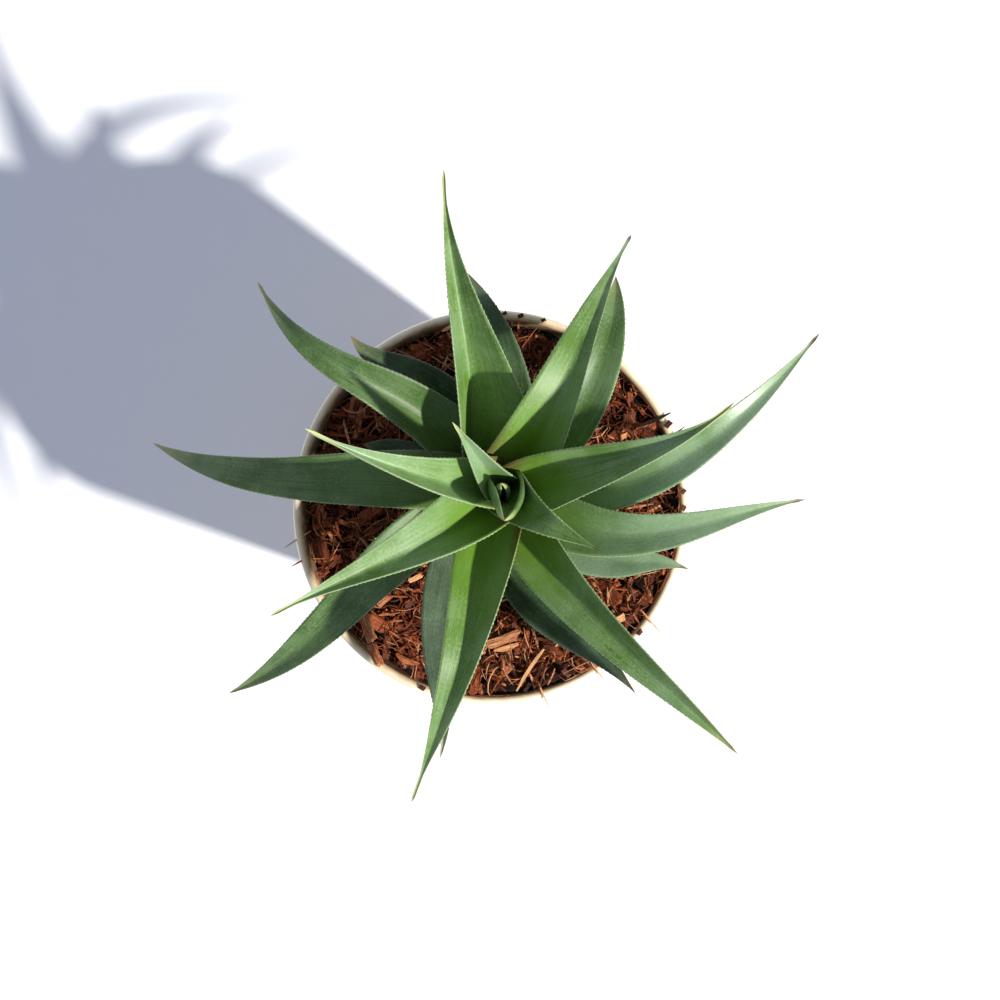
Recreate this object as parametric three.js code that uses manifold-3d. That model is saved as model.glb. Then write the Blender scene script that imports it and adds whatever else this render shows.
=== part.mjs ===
// A young rosette succulent growing in coir chips in a round glazed pot.
// Millimetres, +Z up, origin at the middle of the pot's flat underside.
import * as THREE from "three";
import { mergeVertices } from "three/addons/utils/BufferGeometryUtils.js";
import Module from "manifold-3d";

const wasm = await Module();
wasm.setup();

// Driving sizes
const gap = 0.3; // left between two pieces that touch
const potWide = 120; // across the outside of the lip
const potTall = 105;
const footWide = 80; // across the underside
const wallThick = 2.7;
const lipHeight = potTall - wallThick / 2; // where the lip starts to round over
const floorThick = 5;
const footRound = 1.6;
const potSides = 60;

const soilTop = 101.2; // mean height of the coir, a little below the lip
const soilLean = 0.045; // how steeply it rises, towards the bearing below
const soilLeanTowards = -40;
const soilDip = 4; // hollow round the stem
const soilDipReach = 22;
const soilSides = 44;
const soilRings = 10;
const chipCount = 60;
const chipReach = 49; // furthest middle of a chip from the pot's middle
const chipLong = [6, 11];
const chipWide = [3, 5];
const chipThick = [2, 3];
const chipTilt = 0.35;
const goldenAngle = 2.4;

const stemPlace = new THREE.Vector2(4, 5); // the plant stands a little off the pot's middle
const stemFoot = 80;
const stemTop = 137;
const stemThickBelow = 10.5;
const stemThickAbove = 4;

const leafEdge = 0.9; // thickness at the margins
const thinning = 0.75; // share of its thickness that a leaf loses towards the tip
const waistDeep = 0.4; // share of its width that a leaf loses at the stem
const waistLong = 0.06; // how far the waist reaches, as a share of the leaf's length
const tipHalf = 0.5; // half width at the last step before the point
const channelRound = 0.22; // how rounded the channel's bottom is, as a share of the half width
const stationApart = 6.2; // steps along a leaf
const fewestStations = 11;
const acrossTop = [-1, -0.5, 0, 0.5, 1];
const acrossBelow = [-1, 0, 1];
const youngLeaves = 4; // how many of the list below, from its start, are young
const greenLeaves = 12; // and how many are young or full-grown, before the old ones

// The leaves, from the heart outwards, so that each one lies on those below it in the list.
// turn: bearing of the base round the stem, in degrees anticlockwise from +X
// rise: height at which the base leaves the stem
// line: three more points along the bottom of the channel, the last one at the tip
// half: half width, belly and point: how full and how drawn out the outline is
// roll: how far the leaf is turned about its own line, in degrees, at its base and at its tip
// deep: depth of the channel as a share of the half width, at the base and at the tip
// fold: how far the channel's bottom lies to the left of the middle, as a share of the half width
// thick: thickness along the middle near the base
const leaves = [
  { name: "heart_spear", turn: 150, rise: 135.5, line: [[3.2, 5.8, 142], [3.2, 6.4, 148], [3, 7, 153]],
    half: 1.6, belly: 2, point: 0.8, roll: [0, 0], deep: [0.5, 0.45], thick: 1.6 },
  { name: "heart_leaf", turn: 285, rise: 133.5, line: [[4.7, 1.8, 144], [4.5, -1, 154.5], [4, -3.5, 165]],
    half: 4.8, belly: 2.4, point: 0.9, roll: [0, 0], deep: [1.1, 1.0], thick: 2 },
  { name: "leaf_01", turn: 125, rise: 132, line: [[-1, 10.5, 147], [-5.5, 17, 159], [-10.5, 24, 169]],
    half: 6.2, belly: 1.6, point: 1.4, roll: [0, 0], deep: [0.9, 0.8], thick: 2.6 },
  { name: "leaf_02", turn: 325, rise: 130.5, line: [[12.5, -2, 150.5], [21, -7, 156.5], [31, -12, 160]],
    half: 8, belly: 1.8, point: 1.4, roll: [0, 0], deep: [0.7, 0.6], thick: 2.8 },
  { name: "leaf_03", turn: 170, rise: 129.5, line: [[-13, 7.5, 151], [-32, 13.5, 165], [-51, 22, 175]],
    half: 9, belly: 1.6, point: 1.8, roll: [22, 14], deep: [0.85, 0.75], thick: 3.2 },
  { name: "leaf_04", turn: 5, rise: 128, line: [[25.5, 10.5, 148], [47.5, 17, 167], [67.5, 29.5, 176]],
    half: 9.8, belly: 1.8, point: 1.6, roll: [18, -24], deep: [0.8, 0.7], thick: 3.2 },
  { name: "leaf_05", turn: 215, rise: 126.5, line: [[-15, -8, 147], [-39.5, -19.5, 161], [-61, -30, 171]],
    half: 10.4, belly: 1.8, point: 1.7, roll: [14, 8], deep: [0.85, 0.75], thick: 3.4 },
  { name: "leaf_06", turn: 62, rise: 123, line: [[16.4, 28.3, 142], [28.2, 54.5, 137], [42.9, 83.3, 100]],
    half: 13.5, belly: 1, point: 1.6, roll: [0, 0], deep: [0.7, 0.3], fold: [-0.1, -0.75], thick: 3.4 },
  { name: "leaf_07", turn: 260, rise: 123.5, line: [[-4.5, -30, 143], [-11.5, -53.5, 147], [-23.5, -87.5, 121]],
    half: 10.4, belly: 1.8, point: 1.9, roll: [18, 6], deep: [0.65, 0.55], thick: 3.6 },
  { name: "leaf_08", turn: 115, rise: 115.5, line: [[-2.2, 38.5, 132.5], [-9.7, 67.6, 144.5], [-13.2, 96.9, 150]],
    half: 13.6, belly: 1.5, point: 1.7, roll: [6, -6], deep: [1.25, 0.9], fold: [0.75, -0.1], thick: 3.6 },
  { name: "leaf_09", turn: 310, rise: 121, line: [[24, -25, 139], [45, -46.5, 150], [70.5, -70, 152]],
    half: 9.2, belly: 1.4, point: 1, roll: [22, 6], deep: [0.7, 0.6], thick: 3.8 },
  { name: "leaf_10", turn: 140, rise: 115.5, line: [[-24.7, 30.7, 130.5], [-48, 43.5, 140], [-69, 67, 122]],
    half: 9.8, belly: 1.6, point: 1.3, roll: [0, 0], deep: [0.5, 0.45], thick: 3.8 },
  { name: "leaf_11", turn: 338, rise: 118, line: [[35.5, -7.5, 135], [63, -4, 144], [91, 2.5, 143]],
    half: 9.2, belly: 1.6, point: 1.2, roll: [0, 0], deep: [0.45, 0.4], thick: 3.8 },
  { name: "leaf_12", turn: 175, rise: 113.5, line: [[-32.1, 8.5, 126], [-67.5, 9.5, 117], [-105, 20, 86]],
    half: 9.6, belly: 1.6, point: 1, roll: [0, 0], deep: [0.4, 0.36], thick: 3.8 },
  { name: "leaf_13", turn: 8, rise: 115, line: [[38, 7.5, 132], [65.5, 21.5, 145], [96, 51, 134]],
    half: 9.4, belly: 1.6, point: 1.3, roll: [0, 0], deep: [0.45, 0.4], thick: 3.8 },
  { name: "leaf_14", turn: 212, rise: 113.5, line: [[-26.5, -12.5, 123], [-50.5, -36, 117], [-80.5, -57, 96]],
    half: 8.2, belly: 2.4, point: 1.1, roll: [0, 0], deep: [0.4, 0.36], thick: 3.8 },
  { name: "leaf_15", turn: 48, rise: 112, line: [[22.5, 26, 122], [33.5, 47.5, 124], [37.5, 69.5, 113]],
    half: 9.6, belly: 2.4, point: 1, roll: [0, 0], deep: [0.4, 0.36], thick: 3.6 },
  { name: "leaf_16", turn: 242, rise: 111, line: [[-12.5, -27.5, 122], [-14, -54, 127], [-15, -74, 126]],
    half: 10, belly: 2, point: 1.2, roll: [0, 0], deep: [0.4, 0.36], thick: 3.6 },
  { name: "leaf_17", turn: 85, rise: 109.5, line: [[4.5, 32, 118], [0, 53, 121], [-8, 71, 118]],
    half: 9.6, belly: 2.4, point: 1, roll: [0, 0], deep: [0.4, 0.36], thick: 3.6 },
  { name: "leaf_18", turn: 295, rise: 108, line: [[13, -25, 117], [25, -37.5, 122], [43, -55, 126]],
    half: 10, belly: 2, point: 1.2, roll: [0, 0], deep: [0.4, 0.36], thick: 3.4 },
  { name: "leaf_19", turn: 130, rise: 107, line: [[-16, 33, 116], [-30, 42, 120], [-41.5, 51, 122]],
    half: 9.6, belly: 2.4, point: 1, roll: [0, 0], deep: [0.4, 0.36], thick: 3.4 },
  { name: "leaf_20", turn: 328, rise: 105.5, line: [[30.5, -13.5, 113], [44.5, -16, 116], [59.5, -18.5, 117]],
    half: 10.5, belly: 2, point: 1.2, roll: [0, 0], deep: [0.35, 0.3], thick: 3.2 },
  { name: "leaf_21", turn: 160, rise: 104.5, line: [[-18.5, 11.5, 109], [-27.5, 16, 111], [-38.5, 19, 113]],
    half: 9, belly: 2.4, point: 1, roll: [0, 0], deep: [0.3, 0.27], thick: 3 },
];

const young = new THREE.MeshStandardMaterial({ color: 0x8aab5a, roughness: 0.5, metalness: 0 });
const green = new THREE.MeshStandardMaterial({ color: 0x6f9656, roughness: 0.5, metalness: 0 });
const old = new THREE.MeshStandardMaterial({ color: 0x4a6a55, roughness: 0.6, metalness: 0 });
const glaze = new THREE.MeshStandardMaterial({ color: 0xe9dfce, roughness: 0.25, metalness: 0 });
const coir = new THREE.MeshStandardMaterial({ color: 0x5a2d18, roughness: 0.95, metalness: 0 });
const bark = new THREE.MeshStandardMaterial({ color: 0x7c6a45, roughness: 0.8, metalness: 0 });

const plant = new THREE.Group();

function addPiece(name, geometry, material) {
  const piece = new THREE.Mesh(geometry, material);
  piece.name = name;
  plant.add(piece);
}

// A copy with nothing but positions, each shared by the faces that meet there
function bareGeometry(geometry) {
  const bare = geometry.clone();
  bare.deleteAttribute("normal");
  bare.deleteAttribute("uv");
  return mergeVertices(bare, 1e-4);
}

// Geometry to and from solids that can be joined and cut
function toSolid(geometry) {
  const bare = bareGeometry(geometry);
  return new wasm.Manifold(new wasm.Mesh({
    numProp: 3,
    vertProperties: new Float32Array(bare.attributes.position.array),
    triVerts: new Uint32Array(bare.index.array),
  }));
}

function toGeometry(solid) {
  const mesh = solid.getMesh();
  const geometry = new THREE.BufferGeometry();
  geometry.setAttribute("position", new THREE.BufferAttribute(mesh.vertProperties, 3));
  geometry.setIndex(new THREE.BufferAttribute(mesh.triVerts, 1));
  geometry.computeVertexNormals();
  return geometry;
}

function largestBody(solid) {
  return solid.decompose().reduce((big, body) => (body.volume() > big.volume() ? body : big));
}

// A solid of revolution about the vertical, from [radius, height] pairs
function turned(profile, sides) {
  const points = profile.map(([radius, height]) => new THREE.Vector2(radius, height));
  return new THREE.LatheGeometry(points, sides).rotateX(Math.PI / 2);
}

// Repeatable random numbers between 0 and 1
function randomFrom(seed) {
  let state = seed;
  return () => {
    state = (state * 1664525 + 1013904223) % 4294967296;
    return state / 4294967296;
  };
}

function evenly(from, to, steps) {
  return Array.from({ length: steps + 1 }, (_, i) => from + (to - from) * i / steps);
}

// Pot: a straight flaring wall with a full round lip
function potRadius(height) {
  const share = height / lipHeight;
  return footWide / 2 + (potWide - footWide) / 2 * share;
}

function buildPot() {
  const lip = wallThick / 2;
  const outside = evenly(footRound, lipHeight, 4).map((z) => [potRadius(z), z]);
  const round = evenly(0.15, 0.85, 4).map((share) => [
    potWide / 2 - lip + lip * Math.cos(Math.PI * share), lipHeight + lip * Math.sin(Math.PI * share)]);
  const inside = evenly(lipHeight, floorThick + 4, 3).map((z) => [potRadius(z) - wallThick, z]);
  const profile = [
    [0, 0], [potRadius(0) - footRound, 0], ...outside, ...round, ...inside,
    [potRadius(floorThick) - wallThick - 4, floorThick], [0, floorThick],
  ];
  addPiece("pot", turned(profile, potSides), glaze);
}

// Coir: a lumpy fill with husk chips lying in its surface and a plain hole for the stem
function soilHeight(x, y) {
  const fromStem = Math.hypot(x - stemPlace.x, y - stemPlace.y);
  const lumps = Math.sin(0.31 * x + 1.3) * Math.cos(0.27 * y) + 0.6 * Math.sin(0.53 * y + 0.21 * x);
  const lean = THREE.MathUtils.degToRad(soilLeanTowards);
  const rise = soilLean * (x * Math.cos(lean) + y * Math.sin(lean));
  return soilTop + rise - soilDip * Math.exp(-((fromStem / soilDipReach) ** 2)) + 0.5 * lumps;
}

function soilRadius(height) {
  return potRadius(height) - wallThick - gap;
}

function buildSoil() {
  const foot = floorThick + gap;
  const sideHeights = evenly(foot + 4, soilTop, 3);
  const topRadii = evenly(soilRadius(soilTop), 0, soilRings).slice(1);
  const profile = [
    [0, foot], [soilRadius(foot) - 4, foot], ...sideHeights.map((z) => [soilRadius(z), z]),
    ...topRadii.map((r) => [r, soilTop]),
  ];
  const fill = turned(profile, soilSides);
  const at = fill.attributes.position;
  for (let i = 0; i < at.count; i++) {
    if (at.getZ(i) < soilTop - 0.01) continue;
    const height = soilHeight(at.getX(i), at.getY(i));
    const inwards = Math.min(1, soilRadius(height) / Math.max(Math.hypot(at.getX(i), at.getY(i)), 1));
    at.setXYZ(i, at.getX(i) * inwards, at.getY(i) * inwards, height);
  }

  let solid = toSolid(fill);
  const random = randomFrom(7);
  const between = (low, high) => low + (high - low) * random();
  for (let i = 0; i < chipCount; i++) {
    const reach = chipReach * Math.sqrt((i + 1) / chipCount);
    const bearing = goldenAngle * i + between(-0.2, 0.2);
    const x = reach * Math.cos(bearing);
    const y = reach * Math.sin(bearing);
    const box = new THREE.BoxGeometry(between(...chipLong), between(...chipWide), between(...chipThick));
    const chip = bareGeometry(box);
    const corner = chip.attributes.position;
    for (let k = 0; k < corner.count; k++) {
      corner.setX(k, corner.getX(k) * between(0.75, 1.05)).setY(k, corner.getY(k) * between(0.6, 1.05));
    }
    chip.rotateX(between(-chipTilt, chipTilt)).rotateY(between(-chipTilt, chipTilt));
    chip.rotateZ(between(0, Math.PI)).translate(x, y, soilHeight(x, y) + between(0, 0.6));
    solid = solid.add(toSolid(chip));
  }
  const holeThick = stemThickBelow / 2 + gap;
  const holeFoot = stemFoot - gap;
  const hole = turned([[0, holeFoot], [holeThick, holeFoot], [holeThick, potTall], [0, potTall]], 16);
  hole.translate(stemPlace.x, stemPlace.y, 0);
  addPiece("coir", toGeometry(largestBody(solid.subtract(toSolid(hole)))), coir);
}

// Stem: a short tapering core that carries every leaf
function stemShape(fat) {
  const below = stemThickBelow / 2 + fat;
  const above = stemThickAbove / 2 + fat;
  return turned([
    [0, stemFoot - fat], [below * 0.8, stemFoot - fat], [below, 100], [below * 0.94, 112],
    [above, stemTop - 1 + fat], [0, stemTop + fat],
  ], 14).translate(stemPlace.x, stemPlace.y, 0);
}

// The smooth curve that passes through four points a third of its way apart
function throughPoints([a, b, c, d]) {
  const weighed = (...weights) => [a, b, c, d].reduce(
    (sum, point, i) => sum.addScaledVector(point, weights[i] / 6), new THREE.Vector3());
  return new THREE.CubicBezierCurve3(a, weighed(-5, 18, -9, 2), weighed(2, -9, 18, -5), d);
}

function leafLine(leaf) {
  const bearing = THREE.MathUtils.degToRad(leaf.turn);
  const start = new THREE.Vector3(Math.cos(bearing), Math.sin(bearing), leaf.rise);
  start.add(new THREE.Vector3(stemPlace.x, stemPlace.y, 0));
  return throughPoints([start, ...leaf.line.map((point) => new THREE.Vector3(...point))]);
}

// Half width at t, which runs from 0 at the stem to 1 at the tip: a waist at the stem, a belly, a drawn-out point
function halfWidth(leaf, t) {
  const waist = 1 - waistDeep * Math.exp(-t / waistLong);
  return Math.max(leaf.half * (1 - t ** leaf.belly) ** leaf.point * waist, tipHalf);
}

function channel(u) {
  const rounded = Math.hypot(u, channelRound) - channelRound;
  return rounded / (Math.hypot(1, channelRound) - channelRound);
}

// A channelled leaf. fat swells it on every side.
function leafShape(leaf, fat) {
  const curve = leafLine(leaf);
  const stations = Math.max(Math.round(curve.getLength() / stationApart), fewestStations);
  const places = [];
  for (let i = 0; i < stations; i++) {
    const t = i / stations;
    const place = curve.getPointAt(t);
    const along = curve.getTangentAt(t);
    if (i === 0) place.addScaledVector(along, -fat);
    const roll = THREE.MathUtils.degToRad(THREE.MathUtils.lerp(leaf.roll[0], leaf.roll[1], t));
    const side = new THREE.Vector3(0, 0, 1).cross(along).normalize().applyAxisAngle(along, roll);
    const up = along.clone().cross(side);
    const half = halfWidth(leaf, t);
    const slope = THREE.MathUtils.lerp(leaf.deep[0], leaf.deep[1], t);
    const fold = THREE.MathUtils.lerp(...(leaf.fold ?? [0, 0]), t);
    const edge = leafEdge * Math.hypot(1, slope);
    const middle = Math.max(leaf.thick * (1 - thinning * t), edge);
    const addPoint = (u, below) => {
      const lift = half * slope * channel(u) - below;
      const across = u * (half + fat) + fold * (1 - Math.abs(u)) * half;
      places.push(place.clone().addScaledVector(side, across).addScaledVector(up, lift));
    };
    const swell = fat * (1 + slope); // more where the channel's walls are steep
    for (const u of acrossTop) addPoint(u, -swell);
    for (const u of acrossBelow) addPoint(u, (u === 0 ? middle : edge) + swell);
  }
  places.push(curve.getPointAt(1).addScaledVector(curve.getTangentAt(1), fat));

  const tip = places.length - 1;
  const ring = acrossTop.length + acrossBelow.length;
  const leftTop = acrossTop.length - 1;
  const leftBelow = acrossBelow.length - 1;
  const top = (i, j) => i * ring + j;
  const below = (i, j) => top(i, j) + acrossTop.length;
  const under = (j) => Math.ceil(j / 2); // the lower point that a top point is joined to at the base
  const faces = [];
  for (let i = 0; i < stations - 1; i++) {
    for (let j = 0; j < leftTop; j++) {
      faces.push(top(i, j), top(i + 1, j), top(i + 1, j + 1), top(i, j), top(i + 1, j + 1), top(i, j + 1));
    }
    for (let j = 0; j < leftBelow; j++) {
      faces.push(below(i, j), below(i + 1, j + 1), below(i + 1, j));
      faces.push(below(i, j), below(i, j + 1), below(i + 1, j + 1));
    }
    faces.push(below(i, leftBelow), top(i, leftTop), top(i + 1, leftTop));
    faces.push(below(i, leftBelow), top(i + 1, leftTop), below(i + 1, leftBelow));
    faces.push(below(i, 0), top(i + 1, 0), top(i, 0), below(i, 0), below(i + 1, 0), top(i + 1, 0));
  }
  const last = stations - 1;
  for (let j = 0; j < leftTop; j++) {
    faces.push(below(0, under(j)), top(0, j), top(0, j + 1));
    if (under(j + 1) > under(j)) faces.push(below(0, under(j)), top(0, j + 1), below(0, under(j + 1)));
    faces.push(top(last, j), tip, top(last, j + 1));
  }
  for (let j = 0; j < leftBelow; j++) faces.push(below(last, j), below(last, j + 1), tip);
  faces.push(below(last, leftBelow), top(last, leftTop), tip, below(last, 0), tip, top(last, 0));

  const geometry = new THREE.BufferGeometry().setFromPoints(places);
  geometry.setIndex(faces);
  return geometry;
}

// Each leaf is cut clear of the stem and of the leaves above it
function buildPlant() {
  addPiece("stem", stemShape(0), bark);
  const inTheWay = [toSolid(stemShape(gap))];
  leaves.forEach((leaf, rank) => {
    let solid = toSolid(leafShape(leaf, 0));
    for (const other of inTheWay) solid = solid.subtract(other);
    const material = rank < youngLeaves ? young : rank < greenLeaves ? green : old;
    addPiece(leaf.name, toGeometry(largestBody(solid)), material);
    inTheWay.push(toSolid(leafShape(leaf, gap)));
  });
}

buildPot();
buildSoil();
buildPlant();

export default plant;
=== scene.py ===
import math
import random
from bisect import bisect_right
from types import SimpleNamespace

import bmesh
import bpy
import numpy
from mathutils import Matrix, Vector, noise
from mathutils.geometry import interpolate_bezier


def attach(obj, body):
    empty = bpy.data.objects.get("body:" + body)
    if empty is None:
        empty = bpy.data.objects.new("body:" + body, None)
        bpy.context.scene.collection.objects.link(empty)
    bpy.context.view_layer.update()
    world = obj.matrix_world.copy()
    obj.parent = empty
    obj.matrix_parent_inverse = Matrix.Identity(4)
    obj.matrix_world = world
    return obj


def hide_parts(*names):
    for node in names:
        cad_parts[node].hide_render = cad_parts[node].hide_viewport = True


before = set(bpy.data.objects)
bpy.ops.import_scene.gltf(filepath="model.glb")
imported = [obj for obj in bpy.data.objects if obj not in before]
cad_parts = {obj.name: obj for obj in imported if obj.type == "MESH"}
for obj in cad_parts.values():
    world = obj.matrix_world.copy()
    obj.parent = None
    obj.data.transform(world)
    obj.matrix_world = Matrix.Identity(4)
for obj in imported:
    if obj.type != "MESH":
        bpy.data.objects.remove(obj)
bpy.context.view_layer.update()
mm = 0.001
noise.seed_set(11)  # otherwise noise_vector differs in every run
print("frame loaded")


# Materials

class Wire:  # a socket that takes part in Python sums
    def __init__(self, recipe, socket):
        self.recipe, self.socket = recipe, socket

    def __add__(self, other):
        return self.recipe.math("ADD", self, other)

    def __sub__(self, other):
        return self.recipe.math("SUBTRACT", self, other)

    def __rsub__(self, other):
        return self.recipe.math("SUBTRACT", other, self)

    def __mul__(self, other):
        return self.recipe.math("MULTIPLY", self, other)

    def __abs__(self):
        return self.recipe.math("ABSOLUTE", self)

    __radd__ = __add__
    __rmul__ = __mul__


class Recipe:  # a material and its nodes
    def __init__(self, name):
        self.material = bpy.data.materials.new(name)
        self.material.use_nodes = True
        self.tree = self.material.node_tree
        self.shader = self.tree.nodes["Principled BSDF"]

    def link(self, target, value):
        if isinstance(value, Wire):
            self.tree.links.new(value.socket, target)
        else:
            target.default_value = value

    def node(self, kind, settings=None, sockets=None, output=0):
        made = self.tree.nodes.new(kind)
        for name, value in (settings or {}).items():
            setattr(made, name, value)
        for name, value in (sockets or {}).items():
            self.link(made.inputs[name], value)
        if isinstance(output, tuple):
            return [Wire(self, made.outputs[each]) for each in output]
        return Wire(self, made.outputs[output])

    def math(self, operation, *values):
        return self.node("ShaderNodeMath", {"operation": operation}, dict(enumerate(values)))

    def mixed(self, share, one, other):  # colours
        return self.node("ShaderNodeMix", {"data_type": "RGBA"}, {0: share, 6: one, 7: other}, output=2)

    def scaled(self, vector, by):
        return self.node("ShaderNodeVectorMath", {"operation": "MULTIPLY"}, {0: vector, 1: by})

    def joined(self, x, y, z):
        return self.node("ShaderNodeCombineXYZ", sockets={0: x, 1: y, 2: z})

    def parts(self, vector):
        return self.node("ShaderNodeSeparateXYZ", sockets={0: vector}, output=(0, 1, 2))

    def attribute(self, name):
        return self.node("ShaderNodeAttribute", {"attribute_name": name}, output=1)

    def place(self):  # object coordinates in millimetres
        return self.scaled(self.node("ShaderNodeTexCoord", output=3), (1000, 1000, 1000))

    def ease(self, value, low, high):  # smoothly from 0 at low to 1 at high
        return self.node("ShaderNodeMapRange", {"interpolation_type": "SMOOTHSTEP"},
                         {"Value": value, "From Min": low, "From Max": high})

    def cloud(self, vector, scale, detail=2.0, roughness=0.5):
        return self.node("ShaderNodeTexNoise", sockets={
            "Vector": vector, "Scale": scale, "Detail": detail, "Roughness": roughness})

    def bump(self, height, distance, strength=1.0):
        return self.node("ShaderNodeBump", sockets={
            "Height": height, "Distance": distance, "Strength": strength})

    def wear(self, **sockets):  # the finished material
        for name, value in sockets.items():
            self.link(self.shader.inputs[name.replace("_", " ")], value)
        return self.material


# Helpers

def rgb(red, green, blue):  # screen values from 0 to 255
    return tuple((c / 255 / 12.92 if c < 11 else ((c / 255 + 0.055) / 1.055) ** 2.4)
                 for c in (red, green, blue)) + (1.0,)


def evenly(low, high, steps):
    return [low + (high - low) * i / steps for i in range(steps + 1)]


def between(ends, share):
    return ends[0] * (1 - share) + ends[1] * share


def clamped(value):
    return min(max(value, 0), 1)


def placed(name, data):  # a new object in the scene
    made = bpy.data.objects.new(name, data)
    bpy.context.scene.collection.objects.link(made)
    return made


def toMesh(bm, name):  # from millimetres to metres
    mesh = bpy.data.meshes.new(name)
    bm.transform(Matrix.Scale(mm, 4))
    bm.to_mesh(mesh)
    bm.free()
    return mesh


def spun(profile, sides):  # a closed solid from radius and height pairs that start and end on the axis
    bm = bmesh.new()
    verts = [bm.verts.new((radius, 0, height)) for radius, height in profile]
    edges = [bm.edges.new(pair) for pair in zip(verts, verts[1:])]
    bmesh.ops.spin(bm, geom=verts + edges, cent=(0, 0, 0), axis=(0, 0, 1), dvec=(0, 0, 0),
                   angle=math.tau, steps=sides, use_merge=True, use_duplicate=False)
    bmesh.ops.remove_doubles(bm, verts=bm.verts, dist=1e-4)
    bmesh.ops.recalc_face_normals(bm, faces=bm.faces)
    return bm


def addPiece(name, mesh, finish, replaced=(), smooth=True):
    mesh.materials.clear()
    mesh.materials.append(finish)
    if smooth:
        mesh.shade_smooth()
    else:
        mesh.shade_flat()
    piece = placed(name, mesh)
    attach(piece, "root")
    if replaced:
        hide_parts(*replaced)


# Floor, lights and camera

stage = {
    "floor": 16000,             # half its width
    "floorColour": rgb(244, 246, 250), "floorRough": 0.7,
    "skyColour": (0.72, 0.79, 1.0), "skyPower": 0.46,
    "sunColour": (1.0, 0.965, 0.9), "sunPower": 5.2,
    "sunSize": 2.4,             # degrees, as the two below
    "sunBearing": -28,          # anticlockwise from +X
    "sunHeight": 38.7,
    "cameraPlace": (2.8 * mm, 2.3 * mm, 855 * mm),  # it looks straight down
    "cameraLens": 89.1, "cameraSensor": 36,
}


def buildStage():
    bm = bmesh.new()
    bmesh.ops.create_grid(bm, x_segments=1, y_segments=1, size=stage["floor"])
    floor = placed("floor", toMesh(bm, "floor"))
    floor.data.materials.append(
        Recipe("floor").wear(Base_Color=stage["floorColour"], Roughness=stage["floorRough"]))

    sun = bpy.data.lights.new("key", "SUN")
    sun.energy = stage["sunPower"]
    sun.angle = math.radians(stage["sunSize"])
    sun.color = stage["sunColour"]
    bearing, height = math.radians(stage["sunBearing"]), math.radians(stage["sunHeight"])
    flat = Vector((math.cos(bearing), math.sin(bearing), 0))
    towards = flat * math.cos(height) + Vector((0, 0, math.sin(height)))
    placed("key", sun).rotation_euler = towards.to_track_quat("Z", "Y").to_euler()

    world = bpy.data.worlds.new("sky")
    world.use_nodes = True
    sky = world.node_tree.nodes["Background"]
    sky.inputs["Color"].default_value = (*stage["skyColour"], 1.0)
    sky.inputs["Strength"].default_value = stage["skyPower"]
    bpy.context.scene.world = world

    lens = bpy.data.cameras.new("camera")
    lens.lens = stage["cameraLens"]
    lens.sensor_width = stage["cameraSensor"]
    lens.clip_start = 10 * mm
    camera = placed("camera", lens)
    camera.location = stage["cameraPlace"]
    bpy.context.scene.camera = camera
    bpy.context.scene.view_settings.view_transform = "Standard"


buildStage()
print("stage ready")


# Pot

pot = {
    "wide": 120, "tall": 105, "footWide": 80,
    "wall": 2.7, "floor": 5, "footRound": 1.6,
    "corner": 4,                # rounding inside, between wall and floor
    "ringWide": 6, "hollow": 1.4,  # it stands on a ring, and is hollowed within it
    "clayTo": 3.2,              # bare clay up to this height
    "browningFrom": 57.5, "browningTo": 59.3,  # radii inside which the lip and the top of the inner wall turn brown
    "sides": 192,
    "glaze": rgb(252, 239, 210), "glazeDeep": rgb(244, 223, 186), "lip": rgb(194, 148, 104),
    "clay": rgb(196, 160, 122), "innerBrown": rgb(112, 74, 44), "speck": rgb(120, 88, 58),
}
footRadius = pot["footWide"] / 2
lipHeight = pot["tall"] - pot["wall"] / 2
flare = (pot["wide"] / 2 - footRadius) / lipHeight


def potRadius(height):  # of the outside
    return footRadius + flare * height


def potFinish():
    r = Recipe("glaze")
    place = r.place()
    x, y, z = r.parts(place)
    radius = r.math("SQRT", x * x + y * y)

    drift = r.cloud(place, 0.035, 3.0)
    colour = r.mixed(r.ease(drift, 0.35, 0.68), pot["glaze"], pot["glazeDeep"])
    drips = r.cloud(r.joined(x * 0.16, y * 0.16, 0), 1.0, 4.0, 0.6)
    # brown on the inner part of the lip and the top of the inner wall
    innerBrowning = 1 - r.ease(radius + (drips - 0.5) * 2.2, pot["browningFrom"], pot["browningTo"])
    colour = r.mixed(innerBrowning * r.ease(z, 96, 101) * 0.65, colour, pot["lip"])
    specks = r.node("ShaderNodeTexVoronoi", sockets={"Vector": place, "Scale": 0.42, "Randomness": 1.0})
    dots = (1 - r.ease(specks, 0.05, 0.13)) * r.ease(r.cloud(place, 0.9), 0.5, 0.62)
    colour = r.mixed(dots * 0.6, colour, pot["speck"])

    # the inner wall turns browner and darker lower down, towards the soil
    inside = r.ease(potRadius(z) - radius, 1.5, 2.4) * r.ease(z, 4.0, 6.0)
    towardsSoil = r.ease(r.cloud(place, 0.25, 4.0) + (104.6 - z) * 0.12, 0.45, 0.95)
    colour = r.mixed(inside * towardsSoil * 0.8, colour, pot["innerBrown"])
    bare = 1 - r.ease(z + r.cloud(place, 0.3) * 0.8, pot["clayTo"], pot["clayTo"] + 0.5)
    colour = r.mixed(bare, colour, pot["clay"])

    rings = r.math("SINE", z * 2.1 + r.cloud(place, 0.05) * 5)
    height = rings * 0.05 + r.cloud(place, 0.12, 2.0) * 0.5 + bare * r.cloud(place, 2.5, 4.0) * 0.4
    return r.wear(Base_Color=colour, Roughness=0.16 + 0.5 * bare + 0.12 * drift + 0.2 * inside,
                  Coat_Weight=(1 - bare) * 0.5, Coat_Roughness=0.08, IOR=1.5,
                  Normal=r.bump(height, 0.35 * mm, 0.5))


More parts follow.
